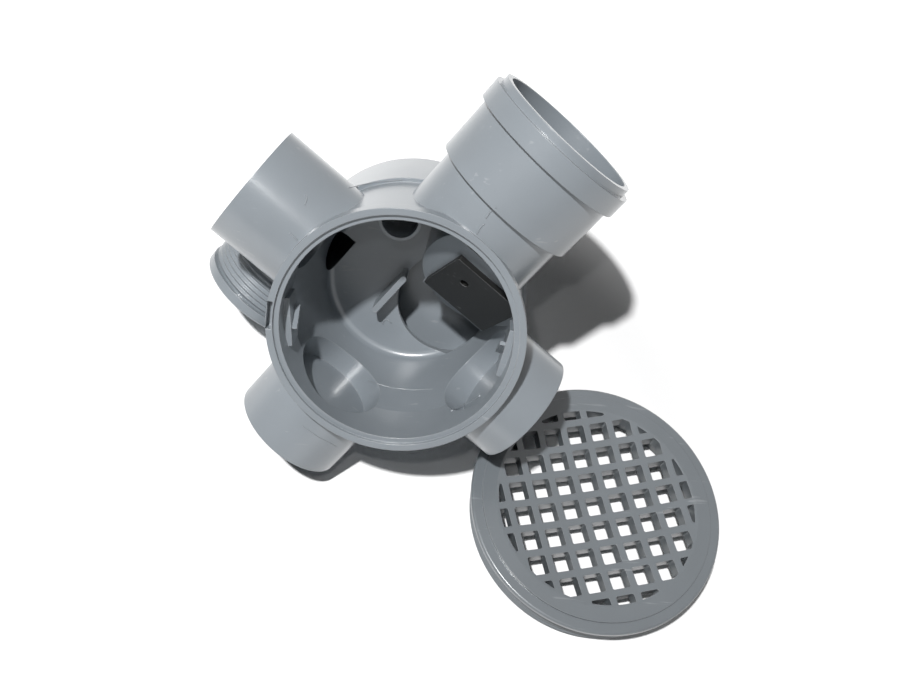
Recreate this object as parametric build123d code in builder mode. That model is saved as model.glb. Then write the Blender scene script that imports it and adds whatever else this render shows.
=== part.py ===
"""Floor trap with its loose grating: a bowl with four pipe connections, a water seal and a rodding plug.

The trap lies tipped on the surface, its mouth towards -Y, and the grating lies flat beside it.
"""
import os
from math import cos, hypot, radians, sin, sqrt
from build123d import *

# Bowl: the rim's plane is z = 0 in the trap's own frame, and its mouth opens along +z
rim_radius = 55.0
rim_height = 6.0
seat_radius = 52.0
seat_depth = 1.6
mouth_radius = 49.6
wall = 3.4
lower_step = 2.0
seam_depth = 50.0
bowl_depth = 94.0
floor_thickness = 3.0
shelf_depth = 70.0
shelf_radius = 41.0
shelf_thickness = 3.0
shelf_round = 4.0
taper_depth = 27.0
foot_round = 5.0

# Pipe connections: their axes lie in one plane below the rim, 90 degrees apart
arm_depth = 32.0
pipe_fit = 0.25
plain_pipe = 50.0
plain_wall = 1.9
plain_reach = 86.0
plain_socket_length = 30.0
plain_inlet_radius = 16.0
left_pipe = 50.0
right_pipe = 50.0
right_reach = 73.0
pocket_step = 3.4
membrane = 1.8
membrane_recess = 5.0
ring_pipe = 63.0
ring_wall = 2.6
ring_root_radius = 31.2
ring_reach = 106.0
ring_socket_length = 35.0
ring_step_length = 3.0
ring_bore_radius = 27.0
bead_height = 2.4
bead_width = 9.0
lip_length = 3.6
edge_round = 1.2

# Rim slot, and the lugs on the bowl's inner wall that hold a basket
slot_turn = 168.0
slot_length = 12.5
slot_width = 2.2
slot_depth = 4.5
slot_radius = 53.5
lug_turns = (176.0, -18.0)
lug_spread = 13.0
lug_top = 11.0
lug_height = 12.0
lug_thickness = 1.8
lug_rib_length = 12.0
lug_rib_slant = -40.0

# Water seal: a well in the shelf, and a chamber behind the ring-seal socket with a slanting top
well_centre = (18.0, -13.0)
well_radius = 26.0
chamber_centre = (36.0, 14.0)
chamber_radius = 27.0
chamber_wall = 2.4
chamber_sill_reach = 13.0
chamber_sill_depth = 45.0
chamber_slope = 44.0
fin_length = 24.0
fin_thickness = 3.0
fin_height = 12.0
fin_centre = (-10.0, -3.0)
vent_centre = (2.0, 41.0)
vent_radius = 9.4
vent_bore_radius = 8.0
vent_depth = 31.0

# Lower leg: a level tube under the plain arm, square to it, with the rodding plug in its front end
leg_offset = 51.0
leg_wall = 4.0
boss_wall = 3.0
boss_thread_depth = 1.0
boss_pitch = 2.6
boss_ridges = 6
boss_clear_length = 7.6
plug_clearance = 0.6

# Rodding plug
plug_fit = 0.2
plug_radius = 24.6
plug_wall = 3.2
plug_engagement = 13.0
plug_head_radius = 29.4
plug_head_length = 5.1

# Chamber cover: a loose plate on the chamber's slanting top
cover_width = 36.0
cover_length = 36.0
cover_thickness = 2.6
cover_hole_radius = 2.2
cover_hole_place = (-11.0, -25.0)
cover_gap = 0.8
cover_side_shift = -18.0
sill_height = 2.0
sill_width = 1.8

# Grating
grating_radius = 62.0
grating_height = 20.5
flange_thickness = 3.6
plate_radius = 56.8
plate_rise = 1.3
plate_dish = 4.5
grid_radius = 50.2
grid_pitch = 12.3
grid_opening = 8.9
grid_corner = 0.8
grid_count = 9
rib_depth = 7.0
skirt_radius = 59.8
skirt_wall = 3.0
skirt_pitch = 4.4
skirt_thread_depth = 1.4
skirt_ridges = 3

# How the pieces lie
trap_tilt = 53.0
trap_roll = 15.0
grating_place = (109.6, -37.5)
grating_turn = 13.0
CUT_SPARE = 8.0
WELL_SPARE = 2.0
ARM_TURN = {"ring": 45, "plain": 135, "left": 225, "right": 315}

bore_reach = mouth_radius
bowl_radius = mouth_radius + wall
foot_radius = bowl_radius + lower_step
pit_depth = bowl_depth - floor_thickness
plain_radius = plain_pipe / 2 + pipe_fit + plain_wall
left_radius = left_pipe / 2 + pipe_fit + plain_wall
right_radius = right_pipe / 2 + pipe_fit + plain_wall
ring_radius = ring_pipe / 2 + pipe_fit + ring_wall
ring_root_reach = ring_reach - ring_socket_length - ring_step_length
boss_bore_radius = plug_radius + plug_fit
leg_radius = boss_bore_radius + boss_wall
leg_bore_radius = leg_radius - leg_wall
bowl_reach = sqrt(foot_radius ** 2 - (leg_offset - plug_head_radius) ** 2)
boss_reach = bowl_reach + plug_clearance + boss_clear_length
plug_end_reach = boss_reach - plug_engagement
boss_thread_length = boss_pitch * (boss_ridges + 1)

# The lower leg's depth and the left arm's reach put the plug's head and the arm's end on the surface that the
# tipped bowl's foot stands on; `up` is that surface's normal in the trap's own frame
up = (sin(radians(trap_roll)), cos(radians(trap_roll)) * sin(radians(trap_tilt)),
      cos(radians(trap_roll)) * cos(radians(trap_tilt)))
left_out = (cos(radians(ARM_TURN["left"])), sin(radians(ARM_TURN["left"])))
left_rise = up[0] * left_out[0] + up[1] * left_out[1]
side_rise = up[1] * left_out[0] - up[0] * left_out[1]
edge_drop = sqrt(1 - left_rise ** 2)
foot_low = -(foot_radius - foot_round) * hypot(up[0], up[1]) - (bowl_depth - foot_round) * up[2] - foot_round
plug_along = boss_reach + plug_head_length
plug_low = plug_along * left_rise - leg_offset * side_rise - plug_head_radius * edge_drop
leg_depth = (plug_low - foot_low) / up[2]
left_reach = (foot_low + arm_depth * up[2] + left_radius * edge_drop) / left_rise


def arm_plane(turn, reach, depth=arm_depth, offset=0.0):
    """A plane square to a level axis: its z points outwards, at `reach` along the axis."""
    out = (cos(radians(turn)), sin(radians(turn)), 0)
    side = (-out[1], out[0], 0)
    origin = tuple(out[i] * reach + side[i] * offset for i in range(2)) + (-depth,)
    return Plane(origin=origin, x_dir=side, z_dir=out)


def leg_plane(reach):
    """A plane square to the lower leg's axis, at `reach` towards its plug."""
    return arm_plane(ARM_TURN["left"], reach, leg_depth, -leg_offset)


def revolved(points):
    """A solid turned about the trap's axis from (radius, height) points."""
    with BuildPart() as turned:
        with BuildSketch(Plane.XZ):
            with BuildLine():
                Polyline(*points, close=True)
            make_face()
        revolve(axis=Axis.Z)
    return turned.part


def ridged_profile(crest, root, inner, bottom, top, pitch, ridges):
    """Points of a ring section with triangular thread ridges on its outer side."""
    points = [(inner, bottom), (root, bottom)]
    first = bottom + (top - bottom - pitch * ridges) / 2
    for ridge in range(ridges):
        foot = first + ridge * pitch
        points += [(root, foot), (crest, foot + pitch / 2)]
    points += [(root, first + pitch * ridges), (root, top), (inner, top)]
    return points


# The space inside the bowl, down to the shelf, with the well below it
with BuildPart() as bowl_space:
    with BuildSketch(Plane.XZ):
        with BuildLine():
            Polyline((0, CUT_SPARE), (mouth_radius, CUT_SPARE), (mouth_radius, -taper_depth),
                     (shelf_radius, -shelf_depth), (0, -shelf_depth), close=True)
        make_face()
    revolve(axis=Axis.Z)
    fillet(bowl_space.edges().group_by(Axis.Z)[0], shelf_round)

# The slanting plane over the chamber, rising towards the wall behind the ring-seal socket
slope_out = (cos(radians(ARM_TURN["ring"])), sin(radians(ARM_TURN["ring"])))
slope_normal = (-slope_out[0] * sin(radians(chamber_slope)), -slope_out[1] * sin(radians(chamber_slope)),
                cos(radians(chamber_slope)))
slope_origin = (slope_out[0] * chamber_sill_reach, slope_out[1] * chamber_sill_reach, -chamber_sill_depth)
slope_plane = Plane(origin=slope_origin, x_dir=(-slope_out[1], slope_out[0], 0), z_dir=slope_normal)

# The chamber's outer form, cut to the bowl's space and to the slanting top
with BuildPart() as chamber_form:
    with BuildSketch(Plane.XY.offset(-bowl_depth)):
        with Locations(chamber_centre):
            Circle(chamber_radius)
    extrude(amount=bowl_depth)
    split(bisect_by=slope_plane, keep=Keep.BOTTOM)

with BuildPart() as chamber_space:
    with BuildSketch(Plane.XY.offset(-pit_depth)):
        with Locations(chamber_centre):
            Circle(chamber_radius - chamber_wall)
    extrude(amount=pit_depth)
    split(bisect_by=slope_plane.offset(-chamber_wall), keep=Keep.BOTTOM)
    add(revolved([(0, 0), (mouth_radius, 0), (mouth_radius, -pit_depth), (0, -pit_depth)]),
        mode=Mode.INTERSECT)

with BuildPart() as chamber_walls:
    add(chamber_form.part)
    add(bowl_space.part, mode=Mode.INTERSECT)

with BuildPart() as vent_tube:
    with BuildSketch(Plane.XY.offset(-bowl_depth)):
        with Locations(vent_centre):
            Circle(vent_radius)
    extrude(amount=bowl_depth - vent_depth)
    add(bowl_space.part, mode=Mode.INTERSECT)

# The thread round the lower leg's plugged end
with BuildPart() as boss_thread:
    with BuildSketch(Plane.XZ):
        with BuildLine():
            Polyline(*ridged_profile(leg_radius + boss_thread_depth, leg_radius, boss_bore_radius, 0,
                                     boss_thread_length, boss_pitch, boss_ridges), close=True)
        make_face()
    revolve(axis=Axis.Z)

# Trap body: one moulding
with BuildPart() as trap_body:
    with BuildSketch(Plane.XZ):
        with BuildLine():
            Polyline((0, 0), (rim_radius, 0), (rim_radius, -rim_height), (bowl_radius, -rim_height),
                     (bowl_radius, -seam_depth), (foot_radius, -seam_depth), (foot_radius, -bowl_depth),
                     (0, -bowl_depth), close=True)
        make_face()
    revolve(axis=Axis.Z)
    fillet(trap_body.edges().group_by(Axis.Z)[0], foot_round)
    # Plain socket and the two stubs
    for name, radius, reach in (("plain", plain_radius, plain_reach), ("left", left_radius, left_reach),
                                ("right", right_radius, right_reach)):
        with BuildSketch(arm_plane(ARM_TURN[name], 0)):
            Circle(radius)
        extrude(amount=reach)
    # Ring-seal socket: root, barrel, bead and lip
    bead_start = ring_reach - lip_length - bead_width
    for radius, start, end in ((ring_root_radius, 0, ring_root_reach),
                               (ring_radius, ring_root_reach, ring_reach),
                               (ring_radius + bead_height, bead_start, bead_start + bead_width)):
        with BuildSketch(arm_plane(ARM_TURN["ring"], start)):
            Circle(radius)
        extrude(amount=end - start)
    # Lower leg, with the thread round its plugged end
    with BuildSketch(leg_plane(0)):
        Circle(leg_radius)
    extrude(amount=boss_reach)
    add(boss_thread.part.moved(leg_plane(boss_reach - boss_thread_length).location))
    # Inside of the bowl, then what stands in it
    add(bowl_space.part, mode=Mode.SUBTRACT)
    with BuildSketch(Plane.XY):
        Circle(seat_radius)
    extrude(amount=-seat_depth, mode=Mode.SUBTRACT)
    add(chamber_walls.part)
    add(vent_tube.part)
    with BuildSketch(Plane.XY.offset(-shelf_depth - shelf_thickness)):
        with Locations(Location((fin_centre[0], fin_centre[1], 0), (0, 0, ARM_TURN["ring"]))):
            SlotOverall(fin_length, fin_thickness)
    extrude(amount=fin_height + shelf_thickness)
    # The well, the vent, the chamber's space and the passages of the water seal
    with BuildSketch(Plane.XY.offset(-pit_depth)):
        with Locations(well_centre):
            Circle(well_radius)
    extrude(amount=pit_depth - shelf_depth + WELL_SPARE, mode=Mode.SUBTRACT)
    add(chamber_space.part, mode=Mode.SUBTRACT)
    with BuildSketch(Plane.XY.offset(-vent_depth)):
        with Locations(vent_centre):
            Circle(vent_bore_radius)
    extrude(amount=-(shelf_depth - vent_depth), mode=Mode.SUBTRACT)
    # The space under the shelf, and the lower leg with its plug's bore
    add(revolved([(0, -shelf_depth - shelf_thickness), (mouth_radius, -shelf_depth - shelf_thickness),
                  (mouth_radius, -pit_depth), (0, -pit_depth)]), mode=Mode.SUBTRACT)
    for radius, start, end in ((leg_bore_radius, leg_wall, boss_reach),
                               (boss_bore_radius, plug_end_reach, boss_reach)):
        with BuildSketch(leg_plane(start)):
            Circle(radius)
        extrude(amount=end - start, mode=Mode.SUBTRACT)
    # Bores of the connections, from their mouths inwards
    membrane_reach = bore_reach + membrane_recess + membrane
    for name, bore, reach, length in (
            ("plain", plain_pipe / 2 + pipe_fit, plain_reach, plain_socket_length),
            ("plain", plain_inlet_radius, plain_reach, plain_reach - bore_reach + wall * 3),
            ("left", left_pipe / 2 + pipe_fit, left_reach, left_reach - membrane_reach),
            ("right", right_pipe / 2 + pipe_fit, right_reach, right_reach - membrane_reach),
            ("ring", ring_pipe / 2 + pipe_fit, ring_reach, ring_socket_length),
            ("ring", ring_bore_radius, ring_reach, ring_reach - bore_reach + wall)):
        with BuildSketch(arm_plane(ARM_TURN[name], reach)):
            Circle(bore)
        extrude(amount=-length, mode=Mode.SUBTRACT)
    for name, pipe in (("left", left_pipe), ("right", right_pipe)):
        with BuildSketch(arm_plane(ARM_TURN[name], bore_reach + membrane_recess)):
            Circle(pipe / 2 - pocket_step)
        extrude(amount=-wall * 4, mode=Mode.SUBTRACT)
    # The rim's slot and the lugs
    with BuildSketch(Plane.XY):
        with PolarLocations(slot_radius, 1, start_angle=slot_turn):
            Rectangle(slot_width, slot_length)
    extrude(amount=-slot_depth, mode=Mode.SUBTRACT)
    for turn in lug_turns:
        wall_plane = arm_plane(turn, mouth_radius, lug_top + lug_height / 2)
        with BuildSketch(wall_plane):
            Rectangle(2 * mouth_radius * sin(radians(lug_spread)), lug_height)
        extrude(amount=-lug_thickness - mouth_radius * (1 - cos(radians(lug_spread))))
        with BuildSketch(wall_plane.offset(-lug_thickness)):
            with Locations(Location((0, 0, 0), (0, 0, lug_rib_slant))):
                Rectangle(lug_thickness, lug_rib_length)
        extrude(amount=-2 * lug_thickness)
    # The sill that holds the cover on the slanting top
    with BuildSketch(slope_plane):
        with Locations((cover_side_shift, -sill_width / 2)):
            Rectangle(cover_width, sill_width)
    extrude(amount=sill_height)

# Rodding plug: a cup in the leg's threaded end, with a wide closed head
with BuildPart() as rodding_plug:
    with BuildSketch():
        Circle(plug_radius)
        Circle(plug_radius - plug_wall, mode=Mode.SUBTRACT)
    extrude(amount=plug_engagement)
    with BuildSketch(Plane.XY.offset(plug_engagement)):
        Circle(plug_head_radius)
    extrude(amount=plug_head_length)
    fillet(rodding_plug.edges().group_by(Axis.Z)[-1], edge_round)

# Chamber cover: a flat plate with a finger hole, cut round to clear the bowl's wall
with BuildPart() as chamber_cover:
    with BuildSketch(slope_plane):
        with Locations((cover_side_shift, -sill_width - cover_length / 2)):
            RectangleRounded(cover_width, cover_length, edge_round)
        with Locations(cover_hole_place):
            Circle(cover_hole_radius, mode=Mode.SUBTRACT)
    extrude(amount=cover_thickness)
    add(revolved([(0, 0), (mouth_radius - cover_gap, 0), (mouth_radius - cover_gap, -bowl_depth),
                  (0, -bowl_depth)]), mode=Mode.INTERSECT)

# Grating: a flange with a threaded skirt below and a raised plate with square openings
with BuildPart() as grating:
    skirt_top = grating_height - flange_thickness
    skirt_root = skirt_radius - skirt_thread_depth
    with BuildSketch(Plane.XZ):
        with BuildLine():
            Polyline(*ridged_profile(skirt_radius, skirt_root, skirt_root - skirt_wall, 0, skirt_top,
                                     skirt_pitch, skirt_ridges), close=True)
        make_face()
    revolve(axis=Axis.Z)
    with BuildSketch(Plane.XY.offset(skirt_top)):
        Circle(grating_radius)
        Circle(grid_radius, mode=Mode.SUBTRACT)
    extrude(amount=flange_thickness)
    plate_top = grating_height + plate_rise
    with BuildSketch(Plane.XZ):
        with BuildLine():
            ThreePointArc((0, plate_top - plate_dish), (grid_radius / 2, plate_top - plate_dish * 0.75),
                          (grid_radius, plate_top))
            Polyline((grid_radius, plate_top), (plate_radius, plate_top), (plate_radius, skirt_top),
                     (grid_radius, skirt_top), (grid_radius, plate_top - rib_depth))
            ThreePointArc((grid_radius, plate_top - rib_depth),
                          (grid_radius / 2, plate_top - rib_depth - plate_dish * 0.75),
                          (0, plate_top - rib_depth - plate_dish))
            Line((0, plate_top - rib_depth - plate_dish), (0, plate_top - plate_dish))
        make_face()
    revolve(axis=Axis.Z)
    with BuildSketch(Plane.XY.offset(plate_top)):
        with GridLocations(grid_pitch, grid_pitch, grid_count, grid_count):
            RectangleRounded(grid_opening, grid_opening, grid_corner)
        Circle(grid_radius - plate_rise, mode=Mode.INTERSECT)
    extrude(amount=-plate_top, mode=Mode.SUBTRACT)
    rim_edges = grating.edges().filter_by(GeomType.CIRCLE)
    fillet(rim_edges.filter_by(lambda edge: abs(edge.radius - grating_radius) < edge_round), edge_round)

# Places: the trap is tipped towards -Y, and the origin is the middle of the surface under the whole set
rolled = Location((0, 0, -foot_low)) * Location((0, 0, 0), (0, -trap_roll, 0))
tipped = rolled * Location((0, 0, 0), (trap_tilt, 0, 0))
placed = {
    "trap_body": trap_body.part.moved(tipped),
    "rodding_plug": rodding_plug.part.moved(tipped * leg_plane(plug_end_reach).location),
    "chamber_cover": chamber_cover.part.moved(tipped),
    "grating": grating.part.moved(Location((*grating_place, 0), (0, 0, grating_turn))),
}
box = Compound(list(placed.values())).bounding_box()
to_origin = Location((-box.center().X, -box.center().Y, -box.min.Z))

os.makedirs("parts", exist_ok=True)
for node, piece in placed.items():
    finished = piece.moved(to_origin)
    finished.label = node
    export_step(finished, f"parts/{node}.step")
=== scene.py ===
"""Floor trap lying on a pale floor, with its loose grating beside it."""

import bmesh
import bpy
from mathutils import Matrix, Vector
from mathutils.bvhtree import BVHTree


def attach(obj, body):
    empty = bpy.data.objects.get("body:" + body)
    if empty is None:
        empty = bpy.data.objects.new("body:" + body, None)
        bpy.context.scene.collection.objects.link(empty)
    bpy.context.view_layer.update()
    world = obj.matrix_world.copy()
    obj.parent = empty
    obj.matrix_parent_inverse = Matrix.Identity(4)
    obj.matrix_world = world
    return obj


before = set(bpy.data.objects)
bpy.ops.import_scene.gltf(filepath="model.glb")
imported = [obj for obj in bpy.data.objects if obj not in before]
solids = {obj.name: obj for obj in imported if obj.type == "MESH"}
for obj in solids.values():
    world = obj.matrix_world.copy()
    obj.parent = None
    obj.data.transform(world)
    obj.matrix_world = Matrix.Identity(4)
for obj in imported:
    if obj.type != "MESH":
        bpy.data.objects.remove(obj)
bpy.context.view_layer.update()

scene = bpy.context.scene

# Camera, as fitted to the photograph: the rim's middle, the camera's place from it, and its axes
RIM = Vector((-0.04193, -0.0075, 0.09742))
CAMERA_FROM_RIM = Vector((-0.0352, -0.2035, 0.3493))
CAMERA_RIGHT = Vector((0.9848, 0.0138, 0.1728))
CAMERA_FORWARD = Vector((0.1428, 0.5016, -0.8535))
FOCAL_PX = 969.0
PICTURE_MIDDLE_PX = (450.0, 337.5)
SENSOR_MM = 36.0
NEAREST_SEEN = 0.01

# Light: a lamp above and left of the lens, a weak flash beside it, a soft panel behind the trap, and dim
# surroundings that look white
KEY_LEFT = 0.12
KEY_UP = 0.31
KEY_DISTANCE = 1.2
KEY_SIZE = 0.05
KEY_POWER = 19.0
PANEL_PLACE = Vector((-0.05, 0.50, 0.55))
PANEL_SIZE = 0.34
PANEL_POWER = 0.15
FLASH_FROM_LENS = (-0.022, 0.045)
FLASH_SIZE = 0.012
FLASH_POWER = 0.12
SURROUNDINGS_STRENGTH = 0.02

# Colours, linear
BODY_COLOUR = (0.205, 0.229, 0.251, 1.0)
GRATING_COLOUR = (0.130, 0.146, 0.159, 1.0)
# The cover is near-black: partly its own darker tone, partly painted shade from the rim's shadow
COVER_COLOUR_AND_SHADE = (0.006, 0.006, 0.0055, 1.0)
SCUFF_COLOUR = (0.46, 0.47, 0.48, 1.0)
FLOOR_COLOUR = (0.95, 0.95, 0.95, 1.0)
WHITE = (1.0, 1.0, 1.0, 1.0)

# Floor: its size, and how far from the object its white glow starts and is full
FLOOR_SIZE = 4.0
FLOOR_ROUGHNESS = 0.9
FLOOR_GLOW_FROM = 0.11
FLOOR_GLOW_FULL = 0.26
FLOOR_GLOW = 0.7

# Moulded plastic: its patterns' scales, and how much of each shows in the shade, the sheen and the grain
BROAD_SCALE = 18.0
CLOUD_SCALE = 55.0
GRAIN_SCALE = 1100.0
SHADE_LEAST = 0.80
SHADE_BROAD = 0.26
SHADE_CLOUD = 0.14
SHEEN_BROAD = 0.14
GRAIN_STRENGTH = 0.12
GRAIN_DEPTH = 0.0002
GRAIN_BROAD = 0.6
PLASTIC_IOR = 1.55
COAT_ROUGHNESS = 0.22

# Scuffs: long thin lines in patches, and edges that are rubbed lighter
SCUFF_TURN = (0.5, 0.9, 0.4)
SCUFF_SCALE = (28, 420, 420)
SCUFF_LINE = (0.64, 0.72)
SCUFF_PATCH = (0.50, 0.60)
SCUFF_SHOWS = 0.2
SCUFF_ROUGHNESS = 0.1
RUBBED_TURN = (0.02, 0.22)
RUBBED_LEAST = 0.1
RUBBED_CLOUD = 0.5
EDGE_SAMPLES = 4

# Marks that the mould left on the trap: where in the picture each runs, and how thick it is
MARKS = {
    "inner_wall_line": ([(368, 381), (392, 388), (413, 390), (433, 389)], 0.00022),
    "rear_wall_seam": ([(348, 188), (375, 182), (402, 180)], 0.00025),
    "outlet_flash_upper": ([(486, 218), (490, 212), (496, 208)], 0.0004),
    "outlet_flash_lower": ([(477, 234), (480, 228), (484, 224)], 0.0004),
    "inlet_flash_upper": ([(305, 205), (307, 198), (305, 194)], 0.0003),
    "inlet_flash_lower": ([(289, 233), (293, 236), (297, 240)], 0.0004),
    "pocket_ridge": ([(452, 411), (467, 404), (480, 396)], 0.0006),
    "shelf_gate_mark": ([(383, 324), (384, 320), (388, 320), (391, 323)], 0.0004),
    "rim_scratch": ([(302, 426), (318, 437), (336, 446)], 0.00016),
}
MARK_STEP_PX = 3.0
MARK_SIDES = 8


class Value:
    """A shader value that takes part in sums and products."""

    def __init__(self, nodes, socket):
        self.nodes = nodes
        self.socket = socket

    def math(self, operation, other):
        return self.nodes.add("ShaderNodeMath", {"operation": operation}, {0: self, 1: other})

    def __add__(self, other):
        return self.math("ADD", other)

    def __sub__(self, other):
        return self.math("SUBTRACT", other)

    def __mul__(self, other):
        return self.math("MULTIPLY", other)

    def __rsub__(self, other):
        return self * -1.0 + other

    __radd__ = __add__
    __rmul__ = __mul__


class Nodes:
    """The node tree of a material or of the world."""

    def __init__(self, owner):
        owner.use_nodes = True
        self.owner = owner
        self.tree = owner.node_tree

    def add(self, kind, settings, inputs, output=0):
        """One node: its settings first, then the values or links of its sockets."""
        node = self.tree.nodes.new(kind)
        for name, setting in settings.items():
            setattr(node, name, setting)
        for key, value in inputs.items():
            self.set(node.inputs[key], value)
        return Value(self, node.outputs[output])

    def set(self, socket, value):
        if isinstance(value, Value):
            self.tree.links.new(value.socket, socket)
        else:
            socket.default_value = value

    def fill(self, name, **inputs):
        """The values or links of a node that the tree starts with."""
        node = self.tree.nodes[name]
        for key, value in inputs.items():
            self.set(node.inputs[key.replace("_", " ")], value)
        return node

    def place(self):
        return self.add("ShaderNodeTexCoord", {}, {}, "Object")

    def noise(self, place, scale, detail):
        return self.add("ShaderNodeTexNoise", {}, {"Vector": place, "Scale": scale, "Detail": detail})

    def step(self, value, low, high):
        """0 below `low`, 1 above `high`, and smooth between."""
        return self.add("ShaderNodeMapRange", {"interpolation_type": "SMOOTHSTEP"},
                        {"Value": value, "From Min": low, "From Max": high})

    def blend(self, factor, first, second):
        return self.add("ShaderNodeMix", {"data_type": "RGBA"}, {0: factor, 6: first, 7: second}, 2)

    def seen(self):
        """1 where the camera looks, also by way of a shiny or a clear surface."""
        camera, shiny, clear = (self.add("ShaderNodeLightPath", {}, {}, ray)
                                for ray in ("Is Camera Ray", "Is Glossy Ray", "Is Transmission Ray"))
        return camera + shiny + clear


def moulded_plastic(name, colour, roughness, edge, coat):
    """Moulded plastic: uneven in shade and sheen, lightly scuffed, with a fine grain and rounded edges."""
    nodes = Nodes(bpy.data.materials.new(name))
    place = nodes.place()
    broad = nodes.noise(place, BROAD_SCALE, 3.0)
    cloud = nodes.noise(place, CLOUD_SCALE, 4.0)
    fine = nodes.noise(place, GRAIN_SCALE, 2.0)
    drawn = nodes.add("ShaderNodeMapping", {},
                      {"Vector": place, "Rotation": SCUFF_TURN, "Scale": SCUFF_SCALE})
    lines = nodes.noise(drawn, 1.0, 2.0)
    scuffs = nodes.step(lines, *SCUFF_LINE) * nodes.step(cloud, *SCUFF_PATCH)
    shade = broad * SHADE_BROAD + cloud * SHADE_CLOUD + SHADE_LEAST
    tinted = nodes.add("ShaderNodeVectorMath", {"operation": "MULTIPLY"}, {0: colour[:3], 1: shade})
    rounded = nodes.add("ShaderNodeBevel", {"samples": EDGE_SAMPLES}, {"Radius": edge})
    facing = nodes.add("ShaderNodeNewGeometry", {}, {}, "Normal")
    turned = nodes.add("ShaderNodeVectorMath", {"operation": "DOT_PRODUCT"}, {0: rounded, 1: facing}, "Value")
    rubbed = nodes.step(1 - turned, *RUBBED_TURN) * (cloud * RUBBED_CLOUD + RUBBED_LEAST)
    worn = nodes.blend(scuffs * SCUFF_SHOWS + rubbed, tinted, SCUFF_COLOUR)
    grain = nodes.add("ShaderNodeBump", {}, {"Strength": GRAIN_STRENGTH, "Distance": GRAIN_DEPTH,
                                             "Height": fine + broad * GRAIN_BROAD, "Normal": rounded})
    sheen = broad * SHEEN_BROAD + scuffs * SCUFF_ROUGHNESS + (roughness - SHEEN_BROAD / 2)
    nodes.fill("Principled BSDF", Base_Color=worn, Roughness=sheen, Normal=grain, IOR=PLASTIC_IOR,
               Coat_Weight=coat, Coat_Roughness=COAT_ROUGHNESS)
    return nodes.owner


def pale_floor():
    """A matt floor that stays white away from the object, where the flash fades."""
    nodes = Nodes(bpy.data.materials.new("floor"))
    away = nodes.add("ShaderNodeVectorMath", {"operation": "LENGTH"}, {0: nodes.place()}, "Value")
    glow = nodes.step(away, FLOOR_GLOW_FROM, FLOOR_GLOW_FULL) * FLOOR_GLOW * nodes.seen()
    nodes.fill("Principled BSDF", Base_Color=FLOOR_COLOUR, Roughness=FLOOR_ROUGHNESS, Specular_IOR_Level=0.0,
               Emission_Color=glow, Emission_Strength=1.0)
    return nodes.owner


# Finishes of the solids: roughness, edge radius and coat
body_plastic = moulded_plastic("body_plastic", BODY_COLOUR, roughness=0.31, edge=0.0006, coat=0.5)
finishes = {
    "trap_body": body_plastic,
    "rodding_plug": moulded_plastic("plug_plastic", BODY_COLOUR, roughness=0.40, edge=0.0006, coat=0.5),
    "grating": moulded_plastic("grating_plastic", GRATING_COLOUR, roughness=0.33, edge=0.0005, coat=0.5),
    # the cover's near-black colour is partly painted shade
    "chamber_cover": moulded_plastic("cover_plastic", COVER_COLOUR_AND_SHADE, roughness=0.42, edge=0.0004, coat=0.0),
}
for name, finish in finishes.items():
    solids[name].data.materials.clear()
    solids[name].data.materials.append(finish)

# Floor
bpy.ops.mesh.primitive_plane_add(size=FLOOR_SIZE)
floor = bpy.context.object
floor.name = "floor"
floor.data.materials.append(pale_floor())

# Camera
camera_data = bpy.data.cameras.new("camera")
camera_data.sensor_width = SENSOR_MM
camera_data.lens = FOCAL_PX / (2 * PICTURE_MIDDLE_PX[0]) * SENSOR_MM
camera_data.clip_start = NEAREST_SEEN
camera = bpy.data.objects.new("camera", camera_data)
forward = CAMERA_FORWARD.normalized()
right = (CAMERA_RIGHT - forward * CAMERA_RIGHT.dot(forward)).normalized()
up = right.cross(forward)
lens = RIM + CAMERA_FROM_RIM
camera.matrix_world = Matrix.Translation(lens) @ Matrix((right, up, -forward)).transposed().to_4x4()
scene.collection.objects.link(camera)
scene.camera = camera

# Marks of the mould
trap_shape = bmesh.new()
trap_shape.from_mesh(solids["trap_body"].data)
trap_surface = BVHTree.FromBMesh(trap_shape)
trap_shape.free()


def on_trap(spot):
    """The point of the trap that is seen at a spot of the picture."""
    across = (spot[0] - PICTURE_MIDDLE_PX[0]) / FOCAL_PX
    down = (spot[1] - PICTURE_MIDDLE_PX[1]) / FOCAL_PX
    return trap_surface.ray_cast(lens, (forward + right * across - up * down).normalized())[0]


def along_trap(spots):
    """Closely spaced points on the trap, along a line of spots."""
    points = []
    for start, end in zip(spots, spots[1:]):
        run = Vector(end) - Vector(start)
        steps = max(1, round(run.length / MARK_STEP_PX))
        points += [on_trap(Vector(start) + run * (step / steps)) for step in range(steps)]
    return points + [on_trap(spots[-1])]


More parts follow.
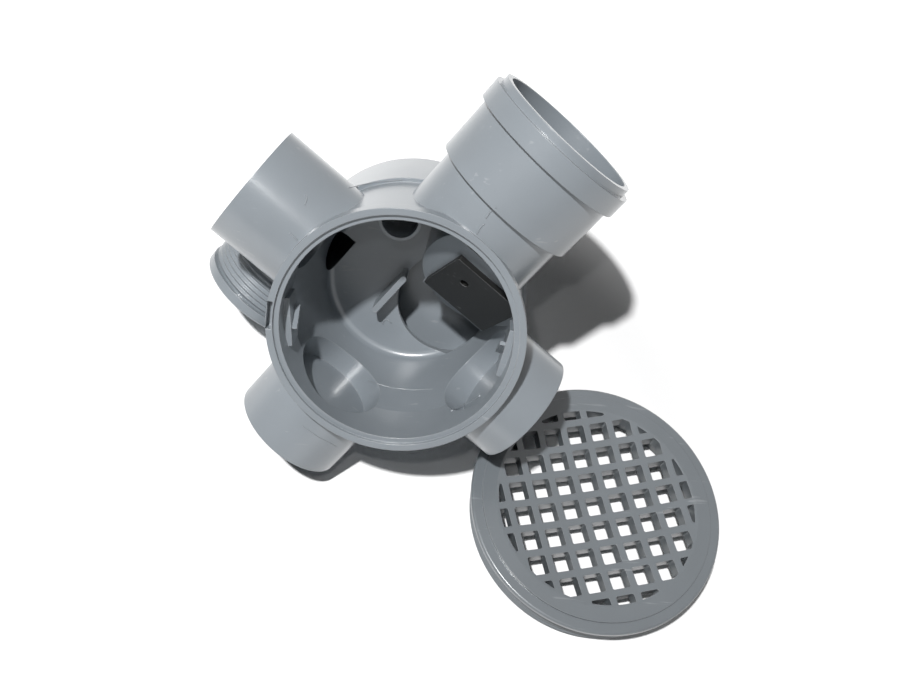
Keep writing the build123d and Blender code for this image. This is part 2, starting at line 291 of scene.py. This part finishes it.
def moulding_mark(name, spots, thickness):
    """A thin raised line, half sunk in the trap's surface."""
    points = along_trap(spots)
    mesh = bmesh.new()
    facing = (points[1] - points[0]).to_track_quat("Z", "Y").to_matrix().to_4x4()
    bmesh.ops.create_circle(mesh, cap_ends=True, segments=MARK_SIDES, radius=thickness,
                            matrix=Matrix.Translation(points[0]) @ facing)
    ring = mesh.edges[:]
    for start, end in zip(points, points[1:]):
        grown = bmesh.ops.extrude_edge_only(mesh, edges=ring)["geom"]
        moved = [part for part in grown if isinstance(part, bmesh.types.BMVert)]
        ring = [part for part in grown if isinstance(part, bmesh.types.BMEdge)]
        bmesh.ops.translate(mesh, verts=moved, vec=end - start)
    bmesh.ops.contextual_create(mesh, geom=ring)
    bmesh.ops.recalc_face_normals(mesh, faces=mesh.faces[:])
    data = bpy.data.meshes.new(name)
    mesh.to_mesh(data)
    mesh.free()
    data.materials.append(body_plastic)
    piece = bpy.data.objects.new(name, data)
    scene.collection.objects.link(piece)
    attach(piece, "root")


for mark, (spots, thickness) in MARKS.items():
    moulding_mark(mark, spots, thickness)


# Lamps and surroundings
def lamp(name, place, size, power):
    """A round lamp that shines at the rim's middle."""
    data = bpy.data.lights.new(name, "AREA")
    data.shape = "DISK"
    data.size = size
    data.energy = power
    holder = bpy.data.objects.new(name, data)
    holder.location = place
    holder.rotation_euler = (RIM - place).to_track_quat("-Z", "Y").to_euler()
    scene.collection.objects.link(holder)


to_key = (up * KEY_UP - right * KEY_LEFT - forward).normalized()
lamp("key", RIM + to_key * KEY_DISTANCE, KEY_SIZE, KEY_POWER)
lamp("flash", lens + right * FLASH_FROM_LENS[0] + up * FLASH_FROM_LENS[1], FLASH_SIZE, FLASH_POWER)
lamp("panel", PANEL_PLACE, PANEL_SIZE, PANEL_POWER)
surroundings = Nodes(bpy.data.worlds.new("surroundings"))
background = surroundings.fill("Background", Color=WHITE, Strength=SURROUNDINGS_STRENGTH)
dim = Value(surroundings, background.outputs[0])
bright = surroundings.add("ShaderNodeBackground", {}, {"Color": WHITE})
backdrop = surroundings.add("ShaderNodeMixShader", {}, {0: surroundings.seen(), 1: dim, 2: bright})
surroundings.fill("World Output", Surface=backdrop)
scene.world = surroundings.owner
scene.view_settings.view_transform = "Standard"
